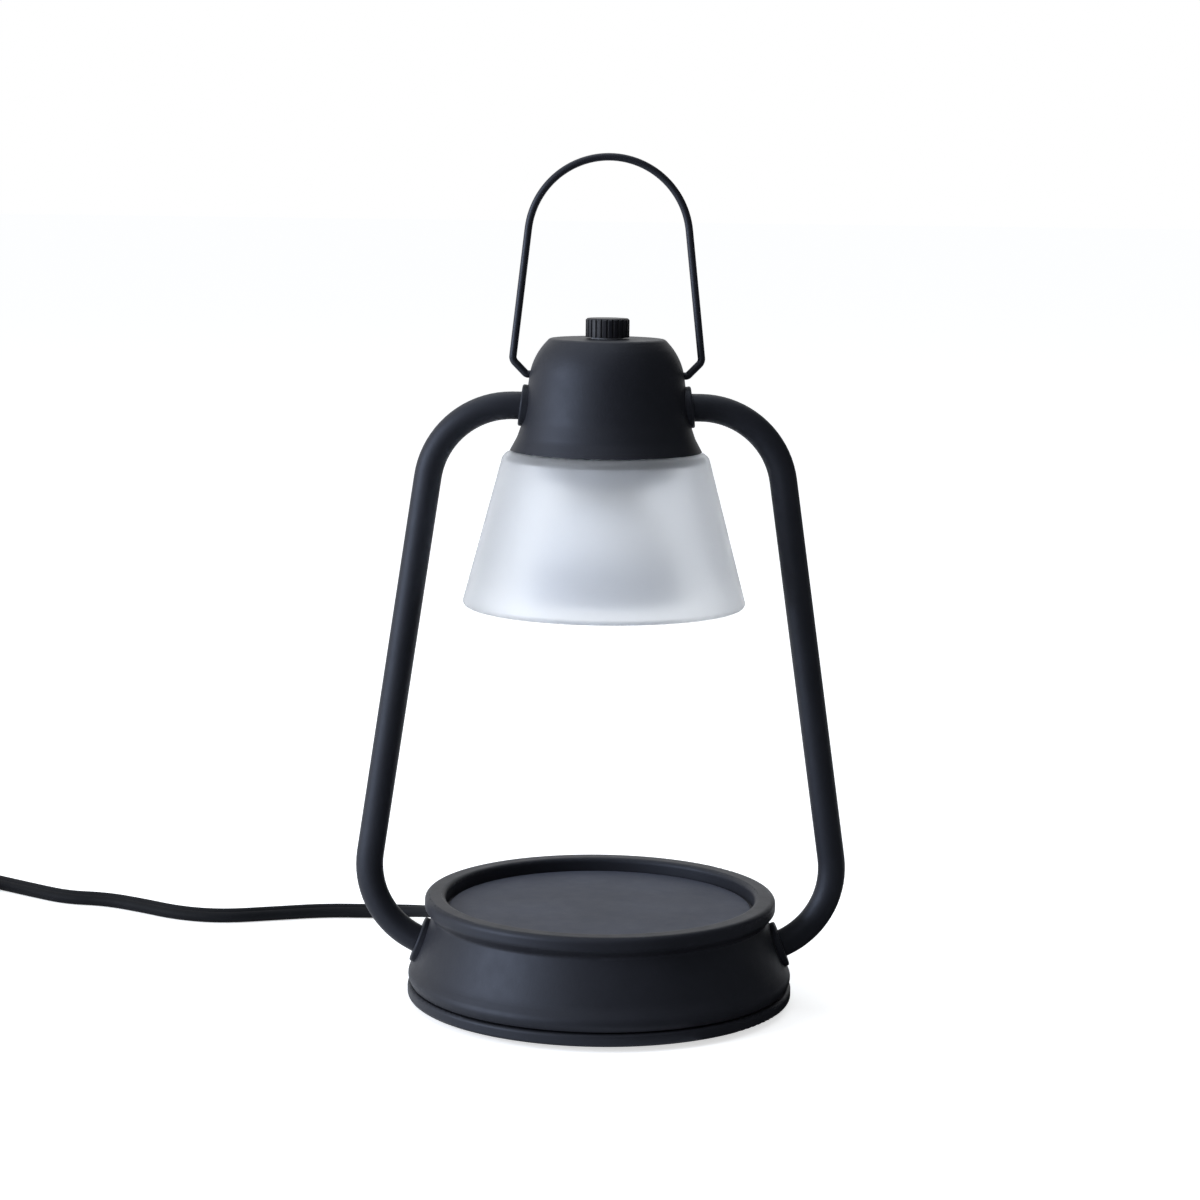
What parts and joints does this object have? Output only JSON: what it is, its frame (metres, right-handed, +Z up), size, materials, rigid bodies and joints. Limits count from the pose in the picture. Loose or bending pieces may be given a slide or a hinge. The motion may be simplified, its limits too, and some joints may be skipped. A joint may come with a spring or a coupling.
{
  "type": "candle warmer lamp",
  "caption": "Candle warmer lamp: weighted round base with a recessed plate, bent tube arms, a hooded frosted-glass shade over a reflector lamp, dimmer knob, wire bail and cord.",
  "frame": {"origin": "centre of the base, on the surface that the feet stand on", "axes": "+Z up along the lamp's axis, +X towards the right arm, -Y to the front, so the cord leaves at the rear left"},
  "size_m": [0.3904, 0.2193, 0.2625],
  "materials": {
    "black_paint": "satin black powder coat",
    "plate_paint": "matte black powder coat, fine texture",
    "black_wire": "satin black enamelled steel wire",
    "cast_weight": "as cast",
    "zinc_steel": "zinc plated",
    "gallery_metal": "satin black",
    "foot_rubber": "matte",
    "gasket_rubber": "translucent silicone",
    "shade_glass": "frosted, blue-white",
    "holder_ceramic": "glazed white",
    "reflector_mirror": "dichroic mirror",
    "lamp_lens_glass": "faceted",
    "lamp_ceramic": "white",
    "pin_metal": "nickel plated",
    "dimmer_plastic": "moulded",
    "knob_black": "matte black, fluted",
    "terminal_plastic": "moulded, off-white",
    "cord_black": "smooth black sheath",
    "lead_sleeve": "silicone sleeve",
    "boot_black": "moulded, ribbed",
    "tie_black": "twist tie",
    "plug_black": "moulded",
    "blade_metal": "plated"
  },
  "bodies": {
    "lamp": {"foot_pads": "foot_rubber", "weight_plate": "black_paint", "ballast_disc": "cast_weight", "shell_posts": "zinc_steel", "base_screws": "zinc_steel", "base_shell": "black_paint", "candle_plate": "plate_paint", "arm_left": "black_paint", "arm_right": "black_paint", "foot_flange_left": "black_paint", "foot_flange_right": "black_paint", "foot_washers": "zinc_steel", "foot_nuts": "zinc_steel", "head_flange_left": "black_paint", "head_flange_right": "black_paint", "head_nuts": "zinc_steel", "hood": "black_paint", "lamp_bracket": "zinc_steel", "shade_gallery": "gallery_metal", "shade_gaskets": "gasket_rubber", "shade_ring": "gallery_metal", "glass_shade": "shade_glass", "lamp_holder": "holder_ceramic", "holder_screws": "zinc_steel", "lamp_reflector": "reflector_mirror", "lamp_lens": "lamp_lens_glass", "lamp_base": "lamp_ceramic", "lamp_pins": "pin_metal", "dimmer_body": "dimmer_plastic", "dimmer_nut": "gallery_metal", "terminal_block": "terminal_plastic", "mains_tail": "cord_black", "cord_clamp": "dimmer_plastic", "clamp_screws": "zinc_steel", "arm_lead": "lead_sleeve", "lamp_lead": "lead_sleeve", "cord_boot": "boot_black", "cord": "cord_black", "cord_tail": "cord_black", "cord_coil": "cord_black", "cord_tie": "tie_black", "plug_body": "plug_black", "plug_blades": "blade_metal"},
    "bail": {"bail": "black_wire"},
    "knob": {"dimmer_knob": "knob_black", "dimmer_shaft": "pin_metal"}
  },
  "joints": [
    {"name": "bail_swing", "type": "hinge", "parent": "lamp", "child": "bail", "pos_m": [0, 0, 0.1955], "axis": [1, 0, 0], "range_deg": [-130, 130]},
    {"name": "knob_turn", "type": "hinge", "parent": "lamp", "child": "knob", "pos_m": [0, 0, 0.2066], "axis": [0, 0, -1], "range_deg": [0, 270]}
  ]
}
